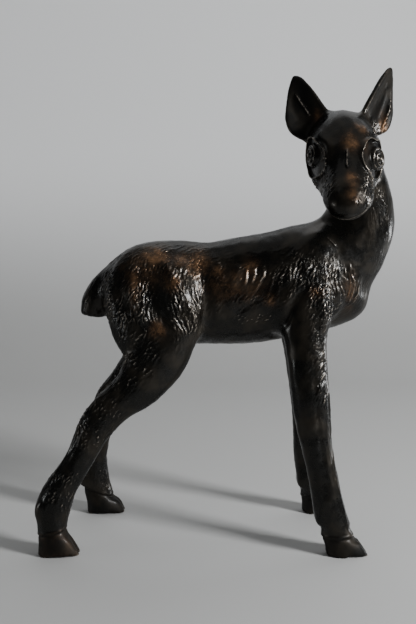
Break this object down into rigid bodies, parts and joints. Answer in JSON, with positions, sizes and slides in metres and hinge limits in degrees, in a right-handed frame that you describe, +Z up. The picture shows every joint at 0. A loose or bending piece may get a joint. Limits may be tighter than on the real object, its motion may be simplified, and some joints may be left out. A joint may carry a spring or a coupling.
{
  "type": "fawn sculpture",
  "caption": "Cast fawn standing on splayed legs, head turned to one side over the shoulder, with raised cupped ears, a short tail and chased fur.",
  "frame": {"origin": "middle of the bounding box in X and Y, on the plane of the four soles", "axes": "+X towards the breast, +Z up; the head looks to -Y"},
  "size_m": [0.344, 0.1752, 0.4619],
  "materials": {
    "bronze": "near-black brown patina under clear gloss lacquer, rubbed to copper brown on the high spots"
  },
  "bodies": {
    "root": {"fawn": "bronze"}
  },
  "joints": []
}
